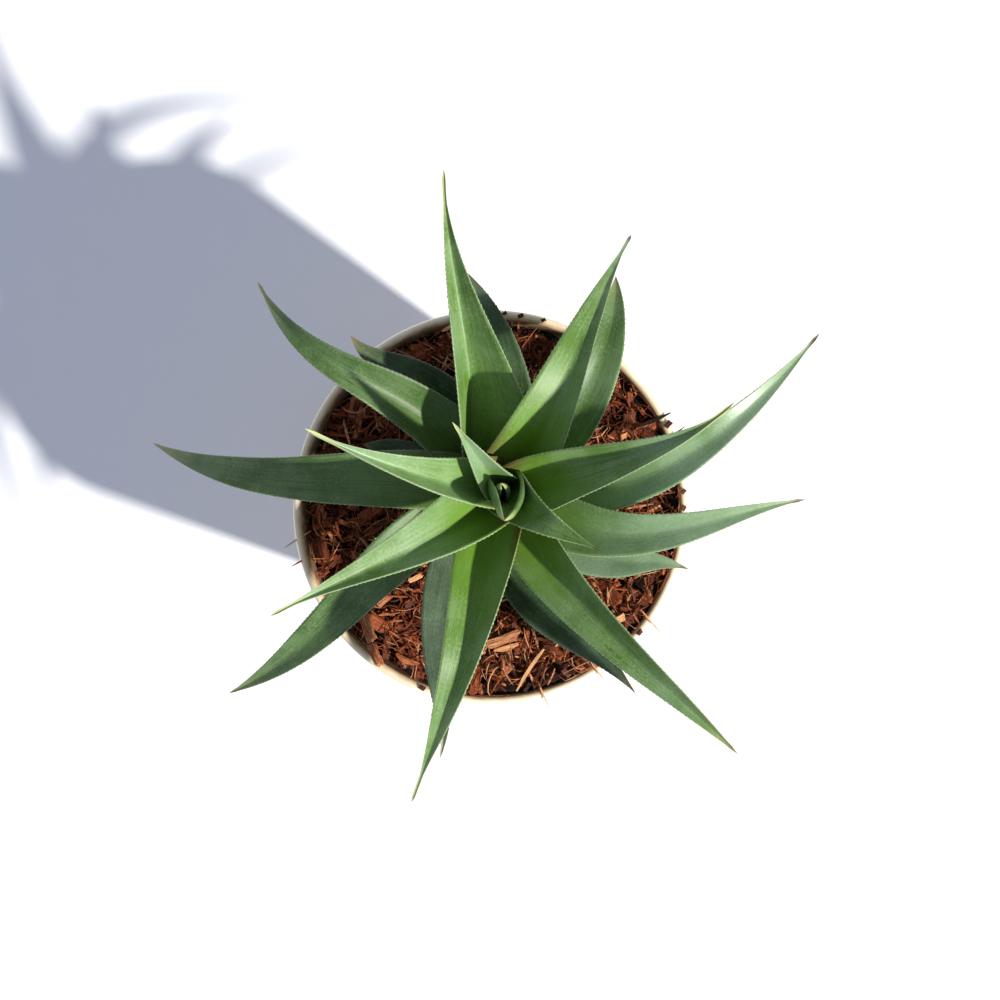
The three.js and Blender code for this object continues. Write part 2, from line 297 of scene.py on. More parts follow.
def buildPot():
    ring, hollow, bend = footRadius - pot["ringWide"], pot["hollow"], pot["footRound"]
    profile = [(0, hollow), (ring - 2, hollow), (ring - 1, 1.0), (ring - 0.4, 0.15), (ring, 0)]
    profile += [(footRadius - bend * (1 - math.sin(a)), bend * (1 - math.cos(a)))
                for a in evenly(0, math.pi / 2, 5)][:-1]
    profile += [(potRadius(z), z) for z in evenly(bend, lipHeight, 28)]
    lip = pot["wall"] / 2
    profile += [(pot["wide"] / 2 - lip + lip * math.cos(a), lipHeight + lip * math.sin(a))
                for a in evenly(0, math.pi, 14)][1:-1]
    floor, corner = pot["floor"], pot["corner"]
    profile += [(potRadius(z) - pot["wall"], z) for z in evenly(lipHeight, floor + corner, 12)]
    inner = potRadius(floor) - pot["wall"]
    profile += [(inner - 0.3 * corner, floor + 0.3 * corner), (inner - corner, floor), (0, floor)]
    mesh = toMesh(spun(profile, pot["sides"]), "pot_body")
    addPiece("pot_body", mesh, potFinish(), ["pot"])


buildPot()
print("pot thrown and glazed")


# Coir

coir = {
    "plant": (4, 5),            # where the stem stands
    "top": 101.2, "lean": 0.045, "leanTowards": -40,  # the surface, and which way it rises
    "dip": 4, "dipReach": 22,   # the hollow round the stem
    "heap": 2.4, "heapTowards": -50, "heapFrom": 44, "heapOver": 12,  # heaped against the wall on one side
    "reach": 57.0,              # how far bits may lie from the pot's middle
    "fillFoot": 5.3, "fillClear": 3.0,  # above the table, and inside the pot's outer face
    "fillSink": 2.9, "fillRough": 1.3,  # the fill lies this far below the surface, and this uneven
    "bitsSink": 0.9,            # how far below the surface bits lie before their own lift
    "straysUp": 1.1,            # how far above the surface single bits lie
    "rimFrom": 52, "rimOver": 5.3,  # from this radius they rise to the lip's height, over this much
    "dark": rgb(24, 11, 6), "brown": rgb(88, 39, 18), "red": rgb(156, 78, 42), "tan": rgb(220, 164, 116),
}


def soilHeight(x, y):
    fromStem = math.hypot(x - coir["plant"][0], y - coir["plant"][1])
    lumps = math.sin(0.31 * x + 1.3) * math.cos(0.27 * y) + 0.6 * math.sin(0.53 * y + 0.21 * x)
    lean = math.radians(coir["leanTowards"])
    rise = coir["lean"] * (x * math.cos(lean) + y * math.sin(lean))
    outwards = clamped((math.hypot(x, y) - coir["heapFrom"]) / coir["heapOver"])
    facing = 0.5 + 0.5 * math.cos(math.atan2(y, x) - math.radians(coir["heapTowards"]))
    heap = coir["heap"] * facing * outwards * outwards
    dip = coir["dip"] * math.exp(-(fromStem / coir["dipReach"]) ** 2)
    return coir["top"] + rise - dip + heap + 0.5 * lumps


def coirFinish(name):  # grain: a point in the bit's own block of husk. tone: shade and dampness of the bit
    r = Recipe(name)
    place = r.place()
    grain = r.attribute("grain")
    tone, wet, _ = r.parts(r.attribute("tone"))
    streaks = r.cloud(r.scaled(grain, (0.16, 1.9, 1.9)), 1.0, 3.0, 0.65)
    fine = r.cloud(place, 2.4, 3.0, 0.7)
    shade = tone + (streaks - 0.5) * 1.1 + (fine - 0.5) * 0.7
    colour = r.mixed(r.ease(shade, 0.0, 0.42), coir["dark"], coir["brown"])
    colour = r.mixed(r.ease(shade, 0.38, 0.78), colour, coir["red"])
    colour = r.mixed(r.ease(shade, 0.72, 1.15), colour, coir["tan"])
    return r.wear(Base_Color=colour, Roughness=0.9 - 0.35 * wet, IOR=1.35,
                  Normal=r.bump(streaks + fine * 0.4, 0.35 * mm, 0.8))


def buildFill():
    foot, top, clear = coir["fillFoot"], coir["top"], coir["fillClear"]
    profile = [(0, foot), (potRadius(foot) - 7, foot)]
    profile += [(potRadius(z) - clear, z) for z in evenly(foot + 4, top, 8)]
    profile += [(radius, top) for radius in evenly(potRadius(top) - clear, 0, 64)][1:]
    bm = spun(profile, 200)
    grain = bm.verts.layers.float_vector.new("grain")
    tone = bm.verts.layers.float_vector.new("tone")
    for v in bm.verts:
        if v.co.z > top - 0.01:
            rough = noise.fractal(v.co * 0.35, 1.0, 2.0, 4) * coir["fillRough"]
            v.co.z = soilHeight(v.co.x, v.co.y) - coir["fillSink"] + rough
            inwards = min(1, (potRadius(v.co.z) - clear) / max(math.hypot(v.co.x, v.co.y), 1))
            v.co.x, v.co.y = v.co.x * inwards, v.co.y * inwards
        v[grain] = v.co
        # the fill takes the darkest tone: painted shade in the gaps between the bits
        v[tone] = (-0.1, 0.4, 0)
    addPiece("coir_fill", toMesh(bm, "coir_fill"), coirFinish("coirFill"), ["coir"])


def chipShape(rng, cuts=2, rough=0.16):  # a unit box with torn sides
    bm = bmesh.new()
    bmesh.ops.create_cube(bm, size=1)
    bmesh.ops.subdivide_edges(bm, edges=bm.edges, cuts=cuts, use_grid_fill=True)
    shift = Vector((rng.uniform(0, 50), rng.uniform(0, 50), 0))
    for v in bm.verts:
        v.co += noise.noise_vector(v.co * 2.1 + shift) * rough
    return bm


def sliverShape(rng):  # a thin bent splinter
    bm = bmesh.new()
    bmesh.ops.create_cube(bm, size=1)
    lengthways = [e for e in bm.edges if abs(e.verts[0].co.x - e.verts[1].co.x) > 0.5]
    bmesh.ops.subdivide_edges(bm, edges=lengthways, cuts=3)
    bend = rng.uniform(-0.22, 0.22)
    for v in bm.verts:
        taper = 1 - 0.6 * abs(2 * v.co.x) ** rng.uniform(1.5, 3)
        v.co.y = v.co.y * taper + bend * 8 * v.co.x ** 2
        v.co.z = v.co.z * taper + rng.uniform(-0.12, 0.12)
    return bm


def crumbShape(rng):
    bm = bmesh.new()
    bmesh.ops.create_icosphere(bm, subdivisions=1, radius=0.5)
    for v in bm.verts:
        v.co *= rng.uniform(0.65, 1.2)
    return bm


def scatter(name, rng, shapes, places):  # places: middle, size, turn and tone of each bit
    kinds = []
    for shape in shapes:
        kind = bpy.data.meshes.new("kind")
        shape.to_mesh(kind)
        shape.free()
        kinds.append(kind)
    bm = bmesh.new()
    grain = bm.verts.layers.float_vector.new("grain")
    toneLayer = bm.verts.layers.float_vector.new("tone")
    for middle, size, turn, tone in places:
        before = len(bm.verts)
        bm.from_mesh(rng.choice(kinds))
        bm.verts.ensure_lookup_table()
        shift = Vector((rng.uniform(0, 90), rng.uniform(0, 90), rng.uniform(0, 90)))
        wet = rng.random()
        for i in range(before, len(bm.verts)):
            v = bm.verts[i]
            own = v.co * size
            v[grain] = own + shift
            v[toneLayer] = (tone, wet, 0)
            v.co = middle + turn @ own
    bmesh.ops.recalc_face_normals(bm, faces=bm.faces)
    for kind in kinds:
        bpy.data.meshes.remove(kind)
    addPiece(name, toMesh(bm, name), coirFinish(name), smooth=False)
    print(name, "laid", len(places))


# tilt: in radians. lift: from just below the surface. tones: lowest, highest and commonest, from dark to pale
looseBits = {
    "chips": dict(count=110, long=(6, 10), wide=(2.4, 4.2), thick=(1.4, 2.6),
                  tilt=0.18, lift=(-1.6, 0.5), tones=(0.15, 1.0, 0.5)),
    "bits": dict(count=1000, long=(2.6, 7), wide=(1.0, 2.2), thick=(0.8, 1.6),
                 tilt=0.36, lift=(-1.9, 1.0), tones=(0.0, 1.1, 0.5)),
    "slivers": dict(count=1900, long=(3.5, 9), wide=(0.4, 1.0), thick=(0.35, 0.7),
                    tilt=0.28, lift=(-1.4, 1.6), tones=(0.0, 1.25, 0.5)),
    "crumbs": dict(count=1300, long=(0.7, 1.9), wide=(0.6, 1.3), thick=(0.5, 1.0),
                   tilt=0.5, lift=(-1.0, 1.5), tones=(0.0, 1.0, 0.4)),
}


def lie(rng, size, tilt, lift):  # where a bit lies on the fill, and how it is turned
    reach = coir["reach"] - 0.42 * size[0]
    radius = reach * math.sqrt(rng.random())
    bearing = rng.uniform(0, math.tau)
    x, y = radius * math.cos(bearing), radius * math.sin(bearing)
    turn = (Matrix.Rotation(rng.uniform(0, math.tau), 3, "Z") @ Matrix.Rotation(rng.gauss(0, tilt), 3, "Y")
            @ Matrix.Rotation(rng.gauss(0, 2 * tilt), 3, "X"))
    return Vector((x, y, soilHeight(x, y) - coir["bitsSink"] + rng.uniform(*lift))), turn


def someBits(rng, count, long, wide, thick, tilt, lift, tones):
    places = []
    for _ in range(count):
        size = Vector((rng.uniform(*long), rng.uniform(*wide), rng.uniform(*thick)))
        middle, turn = lie(rng, size, tilt, lift)
        places.append((middle, size, turn, rng.triangular(*tones)))
    return places


def buildBits(name, seed, makeShape, shapes, kinds):
    rng = random.Random(seed)
    places = [place for kind in kinds for place in someBits(rng, **looseBits[kind])]
    scatter(name, rng, [makeShape(rng) for _ in range(shapes)], places)


# long, thick and tones: lowest, highest and commonest. bend: spread of the turn at each point, in radians
fibres = {
    "count": 1100, "points": 6,
    "long": (3, 17, 7), "thick": (0.09, 0.26, 0.13), "tones": (0.1, 1.4, 0.55),
    "bend": 0.28, "arch": (0.1, 1.4), "low": (0.0, 0.9),
}


def buildFibres():
    rng = random.Random(14)
    curve = bpy.data.curves.new("fibres", "CURVE")
    curve.dimensions = "3D"
    curve.bevel_depth = 1.0
    curve.bevel_resolution = 0
    curve.use_fill_caps = True
    steps, tones = fibres["points"] - 1, []
    for _ in range(fibres["count"]):
        length = rng.triangular(*fibres["long"])
        radius = coir["reach"] * math.sqrt(rng.random())
        bearing, heading = rng.uniform(0, math.tau), rng.uniform(0, math.tau)
        x, y = radius * math.cos(bearing), radius * math.sin(bearing)
        bend, arch = rng.gauss(0, fibres["bend"]), rng.uniform(*fibres["arch"])
        low, thick = rng.uniform(*fibres["low"]), rng.triangular(*fibres["thick"])
        spline = curve.splines.new("POLY")
        spline.points.add(steps)
        for i, point in enumerate(spline.points):
            share = i / steps
            over = math.hypot(x, y) / coir["reach"]
            if over > 1:
                x, y = x / over, y / over
            z = soilHeight(x, y) + low + arch * math.sin(math.pi * share)
            point.co = (x * mm, y * mm, z * mm, 1)
            point.radius = thick * mm * (1 - 0.75 * abs(2 * share - 1) ** 2)
            heading += bend
            x += length / steps * math.cos(heading)
            y += length / steps * math.sin(heading)
        tones.append(rng.triangular(*fibres["tones"]))
    holder = placed("fibreHolder", curve)
    bpy.context.view_layer.update()
    mesh = bpy.data.meshes.new_from_object(holder)
    mesh.name = "coir_fibres"
    bpy.data.objects.remove(holder)
    values = numpy.zeros((len(mesh.vertices), 3), numpy.float32)
    values[:, 0] = numpy.repeat(tones, len(mesh.vertices) // len(tones))
    mesh.attributes.new("tone", "FLOAT_VECTOR", "POINT").data.foreach_set("vector", values.ravel())
    addPiece("coir_fibres", mesh, coirFinish("coirFibres"))
    print("coir_fibres laid", len(tones))


# single bits: two ends, width, thickness and tone
strays = [
    ((7.4, -55.4), (16.5, -41.7), 1.1, 0.7, 1.5), ((44.4, 24.2), (54.6, 28.6), 1.0, 0.8, 0.0),
    ((-24.6, -22.2), (-21.4, -20.6), 1.3, 0.7, 1.6), ((-0.5, -41.5), (8.2, -38.7), 2.6, 1.3, 0.9),
    ((1, -43.7), (8.5, -41.6), 1.6, 0.9, 1.0), ((37.6, -34.2), (40.4, -33), 1.9, 1.2, 2.0),
    ((-38.5, -33), (-36, -40), 2.8, 1.4, 0.9), ((-36, -42), (-33.5, -47), 2.4, 1.4, 0.8),
    ((-29, -45), (-22, -48), 1.9, 1.2, 0.75), ((-40, -26), (-44, -30), 1.6, 1.0, 0.9),
    ((-54.5, 7), (-62, 3.4), 0.5, 0.4, 0.9), ((-54.6, -7), (-62.4, -12), 0.45, 0.4, 1.1),
    ((-53.4, -14), (-60.5, -17.8), 0.5, 0.4, 0.7), ((45, -30.5), (51.5, -38), 0.5, 0.4, 1.2),
    ((14.2, -52.6), (17.6, -60.6), 0.5, 0.4, 1.2), ((33.5, 43), (39.8, 47.6), 0.5, 0.4, 0.8),
    ((50.6, 19), (59, 24.4), 0.6, 0.5, 0.2), ((30, -46.5), (34.5, -52.5), 0.5, 0.4, 1.1),
    ((3.6, 58.6), (4.8, 59.2), 0.9, 0.8, 0.3), ((8.4, 57.8), (9.8, 58.4), 1.0, 0.9, 0.4),
    ((15.4, 56.6), (16.6, 57.1), 0.9, 0.8, 0.3), ((58.2, -0.6), (59, 0.4), 0.9, 0.8, 0.4),
    ((57.9, 4.4), (58.9, 5.4), 1.0, 0.8, 0.4), ((57.2, 9.4), (58, 10.4), 0.8, 0.7, 0.5),
    ((53, 24.5), (54.4, 26), 1.4, 1.1, 0.2), ((44.6, -38.4), (45.8, -37.2), 1.2, 0.9, 0.4),
    ((26, 51.5), (27.4, 52.3), 1.3, 1.0, 0.1), ((-21.5, -54.2), (-20, -55), 1.2, 0.9, 0.3),
]


def restHeight(x, y):  # the lip near the rim, otherwise the top of the coir
    toRim = clamped((math.hypot(x, y) - coir["rimFrom"]) / coir["rimOver"])
    return (soilHeight(x, y) + coir["straysUp"]) * (1 - toRim) + pot["tall"] * toRim


def buildStrays():
    rng = random.Random(15)
    thin, thickset = [], []
    for start, end, wide, thick, tone in strays:
        a, b = (Vector((x, y, restHeight(x, y) + thick * 0.4)) for x, y in (start, end))
        turn = (b - a).to_track_quat("X", "Z").to_matrix()
        lot = thin if wide < 0.25 * (b - a).length else thickset
        lot.append(((a + b) / 2, Vector(((b - a).length, wide, thick)), turn, tone))
    scatter("coir_sticks", rng, [sliverShape(rng) for _ in range(4)], thin)
    scatter("coir_lumps", rng, [chipShape(rng, 3, 0.3) for _ in range(6)], thickset)


buildFill()
buildBits("coir_chips", 11, chipShape, 8, ["chips", "bits"])
buildBits("coir_slivers", 12, sliverShape, 10, ["slivers"])
buildBits("coir_crumbs", 13, crumbShape, 6, ["crumbs"])
buildFibres()
buildStrays()
print("coir filled in")


# Stem

stem = {
    "foot": 80, "soil": 100, "neckFrom": 112, "top": 137,
    "thick": 5.25, "thinning": 0.12,    # radius at the soil, and what it loses with each millimetre
    "neck": 3.6, "neckThinning": 0.068,
    "scars": 0.25, "scarsClose": 2.4,   # ripples left by shed leaves
    "sides": 40,
    "husk": rgb(92, 66, 38), "paleHusk": rgb(150, 128, 84), "green": rgb(128, 140, 66),
}


def stemFinish():
    r = Recipe("stem")
    place = r.place()
    height = r.parts(place)[2]
    husk = r.cloud(r.scaled(place, (1, 1, 3.0)), 0.8, 4.0)
    colour = r.mixed(r.ease(husk, 0.35, 0.65), stem["husk"], stem["paleHusk"])
    colour = r.mixed(r.ease(height, 108, 122), colour, stem["green"])
    return r.wear(Base_Color=colour, Roughness=0.75, Normal=r.bump(husk, 0.4 * mm, 0.8))


def buildStem():
    foot, soil, neckFrom, top = stem["foot"], stem["soil"], stem["neckFrom"], stem["top"]
    profile = [(0, foot), (4.2, foot), (5.2, foot + 12), (stem["thick"], soil)]
    for z in evenly(soil + 0.5, neckFrom, 46):
        scar = stem["scars"] * math.sin(z * stem["scarsClose"])
        profile.append((stem["thick"] - stem["thinning"] * (z - soil) + scar, z))
    for z in evenly(neckFrom + 0.5, top - 1, 12):
        profile.append((stem["neck"] - stem["neckThinning"] * (z - neckFrom), z))
    bm = spun(profile + [(0, top)], stem["sides"])
    bmesh.ops.translate(bm, verts=bm.verts, vec=(*coir["plant"], 0))
    addPiece("stem_core", toMesh(bm, "stem_core"), stemFinish(), ["stem"])


buildStem()
print("stem ready")


# Leaves, from the heart outwards
# turn and rise: bearing and height of the base on the stem. line: three more points along the channel
# half, belly, point: half width, fullness and sharpness. roll: turned about its own line, at base and tip
# deep and fold: how deep the channel is, and how far to the left its bottom lies, as shares of half width
# thick: thickness of the middle at the base. curl: rolled up by so many degrees a side
# age: 0 fresh to 1 old. bloom: waxy patches, which partly stand for painted sheen. tip: 0 cream to 1 brown
leafTable = {
    "heart_spear": dict(
        turn=150, rise=135.5, line=((3.2, 5.8, 142), (3.2, 6.4, 148), (3, 7, 153)),
        half=2.1, belly=3, point=0.7, roll=(0, 0), deep=(0.5, 0.45), thick=0.9,
        age=0.1, bloom=0, tip=0.2, curl=150),
    "heart_leaf": dict(
        turn=285, rise=133.5, line=((4.7, 1.8, 144), (4.5, -1, 154.5), (4, -3.5, 165)),
        half=4.6, belly=2.4, point=0.9, roll=(0, 0), deep=(1.1, 1.0), thick=1.4,
        age=0.15, bloom=0, tip=0.2, curl=118),
    "leaf_01": dict(
        turn=125, rise=132, line=((-1, 10.5, 147), (-5.5, 17, 159), (-10.5, 24, 169)),
        half=6.2, belly=1.6, point=1.4, roll=(0, 0), deep=(0.9, 0.8), thick=2.6,
        age=0.05, bloom=0.85, tip=0.1),
    "leaf_02": dict(
        turn=325, rise=130.5, line=((12.5, -2, 150.5), (21, -7, 156.5), (31, -12, 160)),
        half=8, belly=1.8, point=1.4, roll=(0, 0), deep=(0.7, 0.6), thick=2.8,
        age=0.2, bloom=0.25, tip=0.9),
    "leaf_03": dict(
        turn=170, rise=129.5, line=((-13, 7.5, 151), (-32, 13.5, 165), (-51, 22, 175)),
        half=9, belly=1.6, point=1.8, roll=(22, 14), deep=(0.85, 0.75), thick=3.2,
        age=0.05, bloom=0.65, tip=0),
    "leaf_04": dict(
        turn=5, rise=128, line=((25.5, 10.5, 148), (47.5, 17, 167), (67.5, 29.5, 176)),
        half=9.8, belly=1.8, point=1.6, roll=(18, -24), deep=(0.8, 0.7), thick=3.2,
        age=0.1, bloom=0.35, tip=0.1),
    "leaf_05": dict(
        turn=215, rise=126.5, line=((-15, -8, 147), (-39.5, -19.5, 161), (-61, -30, 171)),
        half=10.4, belly=1.8, point=1.7, roll=(14, 8), deep=(0.85, 0.75), thick=3.4,
        age=0.1, bloom=0.4, tip=0.5),
    "leaf_06": dict(
        turn=62, rise=123, line=((16.4, 28.3, 142), (28.2, 54.5, 137), (42.9, 83.3, 100)),
        half=13.5, belly=1, point=1.6, roll=(0, 0), deep=(0.7, 0.3), fold=(-0.1, -0.75), thick=3.4,
        age=0.1, bloom=0.3, tip=0.9),
    "leaf_07": dict(
        turn=260, rise=123.5, line=((-4.5, -30, 143), (-11.5, -53.5, 147), (-23.5, -87.5, 121)),
        half=10.4, belly=1.8, point=1.9, roll=(18, 6), deep=(0.65, 0.55), thick=3.6,
        age=0.1, bloom=0.1, tip=0.4),
    "leaf_08": dict(
        turn=115, rise=115.5, line=((-2.2, 38.5, 132.5), (-9.7, 67.6, 144.5), (-13.2, 96.9, 150)),
        half=13.6, belly=1.5, point=1.7, roll=(6, -6), deep=(1.25, 0.9), fold=(0.75, -0.1), thick=3.6,
        age=0.15, bloom=0.35, tip=0.4),
    "leaf_09": dict(
        turn=310, rise=121, line=((24, -25, 139), (45, -46.5, 150), (70.5, -70, 152)),
        half=9.2, belly=1.4, point=1, roll=(22, 6), deep=(0.7, 0.6), thick=3.8,
        age=0.2, bloom=0.3, tip=0.7),
    # leaf_10: its age is set higher to darken its colour, as painted shade
    "leaf_10": dict(
        turn=140, rise=115.5, line=((-24.7, 30.7, 130.5), (-48, 43.5, 140), (-69, 67, 122)),
        half=9.8, belly=1.6, point=1.3, roll=(0, 0), deep=(0.5, 0.45), thick=3.8,
        age=0.6, bloom=0.15, tip=0.4),
    "leaf_11": dict(
        turn=338, rise=118, line=((35.5, -7.5, 135), (63, -4, 144), (91, 2.5, 143)),
        half=9.2, belly=1.6, point=1.2, roll=(0, 0), deep=(0.45, 0.4), thick=3.8,
        age=0.15, bloom=0.75, tip=0.8),
    "leaf_12": dict(
        turn=175, rise=113.5, line=((-32.1, 8.5, 126), (-67.5, 9.5, 117), (-105, 20, 86)),
        half=9.6, belly=1.6, point=1, roll=(0, 0), deep=(0.4, 0.36), thick=3.8,
        age=0.5, bloom=0.1, tip=0.5),
    "leaf_13": dict(
        turn=8, rise=115, line=((38, 7.5, 132), (65.5, 21.5, 145), (96, 51, 134)),
        half=9.4, belly=1.6, point=1.3, roll=(0, 0), deep=(0.45, 0.4), thick=3.8,
        age=0.2, bloom=0.95, tip=0.9),
    "leaf_14": dict(
        turn=212, rise=113.5, line=((-26.5, -12.5, 123), (-50.5, -36, 117), (-80.5, -57, 96)),
        half=8.2, belly=2.4, point=1.1, roll=(0, 0), deep=(0.4, 0.36), thick=3.8,
        age=0.55, bloom=0.1, tip=0.7),
    "leaf_15": dict(
        turn=48, rise=112, line=((22.5, 26, 122), (33.5, 47.5, 124), (37.5, 69.5, 113)),
        half=9.6, belly=2.4, point=1, roll=(0, 0), deep=(0.4, 0.36), thick=3.6,
        age=0.4, bloom=0.15, tip=0.6),
    # leaf_16: its high age also darkens its colour, partly as painted shade
    "leaf_16": dict(
        turn=242, rise=111, line=((-12.5, -27.5, 122), (-14, -54, 127), (-15, -74, 126)),
        half=10, belly=2, point=1.2, roll=(0, 0), deep=(0.4, 0.36), thick=3.6,
        age=1.0, bloom=0.3, tip=0.8),
    "leaf_17": dict(
        turn=85, rise=109.5, line=((4.5, 32, 118), (0, 53, 121), (-8, 71, 118)),
        half=9.6, belly=2.4, point=1, roll=(0, 0), deep=(0.4, 0.36), thick=3.6,
        age=0.85, bloom=0.3, tip=0.8),
    "leaf_18": dict(
        turn=295, rise=108, line=((13, -25, 117), (25, -37.5, 122), (43, -55, 126)),
        half=10, belly=2, point=1.2, roll=(0, 0), deep=(0.4, 0.36), thick=3.4,
        age=1.0, bloom=0.25, tip=0.9),
    "leaf_19": dict(
        turn=130, rise=107, line=((-16, 33, 116), (-30, 42, 120), (-41.5, 51, 122)),
        half=9.6, belly=2.4, point=1, roll=(0, 0), deep=(0.4, 0.36), thick=3.4,
        age=0.95, bloom=0.2, tip=0.8),
    "leaf_20": dict(
        turn=328, rise=105.5, line=((30.5, -13.5, 113), (44.5, -16, 116), (59.5, -18.5, 117)),
        half=10.5, belly=2, point=1.2, roll=(0, 0), deep=(0.35, 0.3), thick=3.2,
        age=0.6, bloom=1.0, tip=0.8),
    "leaf_21": dict(
        turn=160, rise=104.5, line=((-18.5, 11.5, 109), (-27.5, 16, 111), (-38.5, 19, 113)),
        half=9, belly=2.4, point=1, roll=(0, 0), deep=(0.3, 0.27), thick=3,
        age=1.0, bloom=0.3, tip=0.8),
}
slotRanks = {"leaf_young": 4, "leaf_green": 12, "leaf_old": 23}  # how many leaves out each slot reaches
leafShape = {
    "steps": 300,               # along the line
    "edge": 0.75,               # thickness at the margins
    "thinning": 0.75,           # share of its thickness that the middle loses towards the tip
    "fullness": 1.8,            # how far that thickness reaches towards the margins
    "waistDeep": 0.4, "waistLong": 0.06,
    "bluntHalf": 0.5, "bluntLong": 3, "sharpLong": 5,  # the last millimetres of the tip
    "channelRound": 0.22,
    "bare": 3, "toothApart": (1.0, 1.8), "toothTall": 0.22, "toothSizes": (0.55, 1.15), "toothLean": 0.5,
    "sway": 5, "swayWide": 0.05, "swayLong": 22,  # a slow twist in degrees, with a change of width
    "ripple": 0.3, "rippleLong": 14,
    "topColumns": 20, "underColumns": 12, "outerColumn": 0.975, "crowding": 1.15,  # crowded to the middle
}
leafLook = {
    "fresh": rgb(118, 150, 90), "old": rgb(54, 78, 48),
    "fresh2": rgb(80, 118, 36), "old2": rgb(30, 50, 28),
    # base and oldBase: the leaf's yellower base, partly painted light shining through the leaf
    "base": rgb(100, 146, 12), "oldBase": rgb(50, 72, 24),
    "under": rgb(104, 134, 80), "oldUnder": rgb(74, 98, 72),
    "margin": rgb(162, 180, 130), "oldMargin": rgb(80, 94, 74),
    # blushAndShade: dark red-brown, partly real colour and partly painted shade between the leaf bases
    "pink": rgb(132, 78, 50), "blushAndShade": rgb(92, 42, 20), "cream": rgb(196, 198, 134), "brown": rgb(86, 56, 36),
    # waxSheen: the pale bloom colour, partly real bloom and partly painted sheen
    "waxSheen": rgb(164, 190, 160), "dot": rgb(150, 176, 104),
}


def channel(u):  # from 0 in the middle to 1 at the margins
    rounding = leafShape["channelRound"]
    return (math.hypot(u, rounding) - rounding) / (math.hypot(1, rounding) - rounding)


def leafSection():  # across from -1 to 1, and side: 1 on top, 0 underneath, 0.5 on the very edge
    outer, crowding = leafShape["outerColumn"], leafShape["crowding"]
    top = [(outer * math.copysign(abs(x) ** crowding, x), 1) for x in evenly(-1, 1, leafShape["topColumns"])]
    under = [(outer * x, 0) for x in evenly(1, -1, leafShape["underColumns"])]
    return [(-1, 0.5)] + top + [(1, 0.5)] + under + [(-1, 0.5)]


def leafSpine(leaf):  # points from base to tip, and how far along each one lies
    bearing = math.radians(leaf["turn"])
    a = Vector((coir["plant"][0] + math.cos(bearing), coir["plant"][1] + math.sin(bearing), leaf["rise"]))
    b, c, d = (Vector(point) for point in leaf["line"])
    near = (-5 * a + 18 * b - 9 * c + 2 * d) / 6  # handles that put b and c on the curve
    far = (2 * a - 9 * b + 18 * c - 5 * d) / 6
    path = interpolate_bezier(a, near, far, d, leafShape["steps"])
    reach = [0.0]
    for one, other in zip(path, path[1:]):
        reach.append(reach[-1] + (other - one).length)
    return path, reach


def toothRows(rng, length):  # distances along the leaf, each with the height of its teeth
    bare = leafShape["bare"]
    rows, at = [(0, 0), (bare, 0)], bare
    while at < length - bare:
        pitch = rng.uniform(*leafShape["toothApart"])
        tall = leafShape["toothTall"] * rng.uniform(*leafShape["toothSizes"])
        rows += [(at + 0.5 * pitch, 0.2 * tall), (at + 0.85 * pitch, tall), (at + pitch, 0)]
        at += pitch
    return rows + [(at + (length - at) * share, 0) for share in (0.35, 0.7, 0.9, 1.0)]


def leafStation(leaf, path, reach, seed, distance, tooth):  # the blade's measures at a distance from its base
    shape, last = leafShape, len(path) - 1
    i = min(bisect_right(reach, distance), last)
    place = path[i - 1].lerp(path[i], (distance - reach[i - 1]) / (reach[i] - reach[i - 1]))
    along = (path[min(i + 2, last)] - path[max(i - 3, 0)]).normalized()
    t = distance / reach[-1]
    toTip = (1 - t) * reach[-1]
    sway = noise.noise(seed + Vector((0, 0, distance / shape["swayLong"])))
    roll = math.radians(between(leaf["roll"], t) + shape["sway"] * sway * t)
    side = Matrix.Rotation(roll, 3, along) @ Vector((0, 0, 1)).cross(along).normalized()
    waist = 1 - shape["waistDeep"] * math.exp(-t / shape["waistLong"])
    half = leaf["half"] * max(1 - t ** leaf["belly"], 0) ** leaf["point"] * waist
    half = max(half, shape["bluntHalf"] * min(1, toTip / shape["bluntLong"])) * (1 + shape["swayWide"] * sway)
    slope = between(leaf["deep"], t)
    sharp = min(1, toTip / shape["sharpLong"])
    edge = shape["edge"] * math.hypot(1, slope) * sharp
    return SimpleNamespace(
        place=place, along=along, side=side, up=along.cross(side), distance=distance, t=t, half=half,
        deep=half * slope, fold=between(leaf.get("fold", (0, 0)), t), tooth=tooth * min(1, half / 3),
        edge=edge, middle=max(leaf["thick"] * (1 - shape["thinning"] * t) * sharp, edge))


def openAcross(at, u, top, seed):  # sideways and up from the line, tooth, and how far inside the margin
    shape = leafShape
    thick = at.edge + (at.middle - at.edge) * (1 - abs(u) ** shape["fullness"])
    wave = noise.noise(seed + Vector((u * 1.3, at.distance / shape["rippleLong"], 5)))
    ripple = shape["ripple"] * min(1, at.half / 6) * wave
    drop = {1: 0, 0: thick, 0.5: at.edge / 2}[top]
    tooth = math.copysign(at.tooth, u) if top == 0.5 else 0
    inside = (1 - abs(u)) * at.half * (1 - at.fold * math.copysign(1, u))
    return (u + at.fold * (1 - abs(u))) * at.half, at.deep * channel(u) + ripple - drop, tooth, inside


def curledAcross(at, u, top, curl):  # the same for a leaf that is still rolled up, with no pale margin
    radius = at.half + {1: 0, 0: at.edge, 0.5: at.edge / 2}[top]
    return radius * math.sin(u * curl), at.half - radius * math.cos(u * curl), 0, 2


